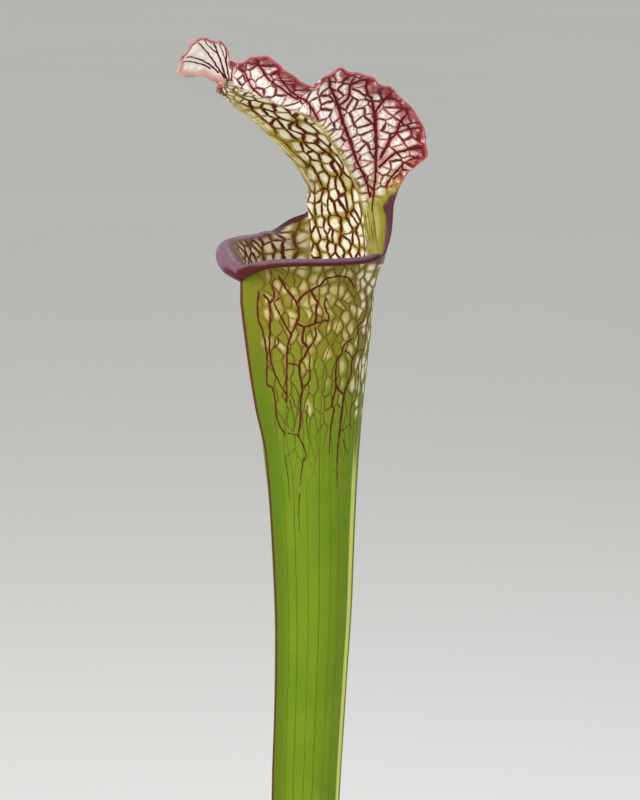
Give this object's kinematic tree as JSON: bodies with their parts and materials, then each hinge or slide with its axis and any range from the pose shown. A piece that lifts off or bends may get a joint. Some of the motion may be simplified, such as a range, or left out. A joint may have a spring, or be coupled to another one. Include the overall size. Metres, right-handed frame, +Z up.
{
  "type": "potted pitcher plant",
  "caption": "Trumpet pitcher plant in a round nursery pot: a tall veined pitcher with a rolled lip and ruffled hood, short basal leaves, rhizome, roots and potting mix.",
  "frame": {"origin": "centre of the pot's flat base", "axes": "+Z up, -Y is the side that the main pitcher's mouth looks towards, +X is to the right as seen from that side"},
  "size_m": [0.13, 0.13, 0.62],
  "materials": {
    "pitcher_leaf": "waxy living leaf with maroon veins and pale windows",
    "young_leaf": "waxy young leaf",
    "flat_leaf": "waxy leaf with fine lengthwise veins",
    "dry_leaf": "dry papery leaf base",
    "rhizome": "rough woody stem",
    "root": "fibrous root",
    "potting_mix": "moist peat with perlite",
    "pot": "thin moulded nursery plastic"
  },
  "bodies": {
    "root": {"main_pitcher": "pitcher_leaf", "young_pitcher": "young_leaf", "pitcher_bud": "young_leaf", "flat_leaf_1": "flat_leaf", "flat_leaf_2": "flat_leaf", "flat_leaf_3": "flat_leaf", "old_leaf_base_1": "dry_leaf", "old_leaf_base_2": "dry_leaf", "rhizome": "rhizome", "root_1": "root", "root_2": "root", "root_3": "root", "root_4": "root", "root_5": "root", "root_6": "root", "potting_mix": "potting_mix", "pot": "pot"}
  },
  "joints": []
}
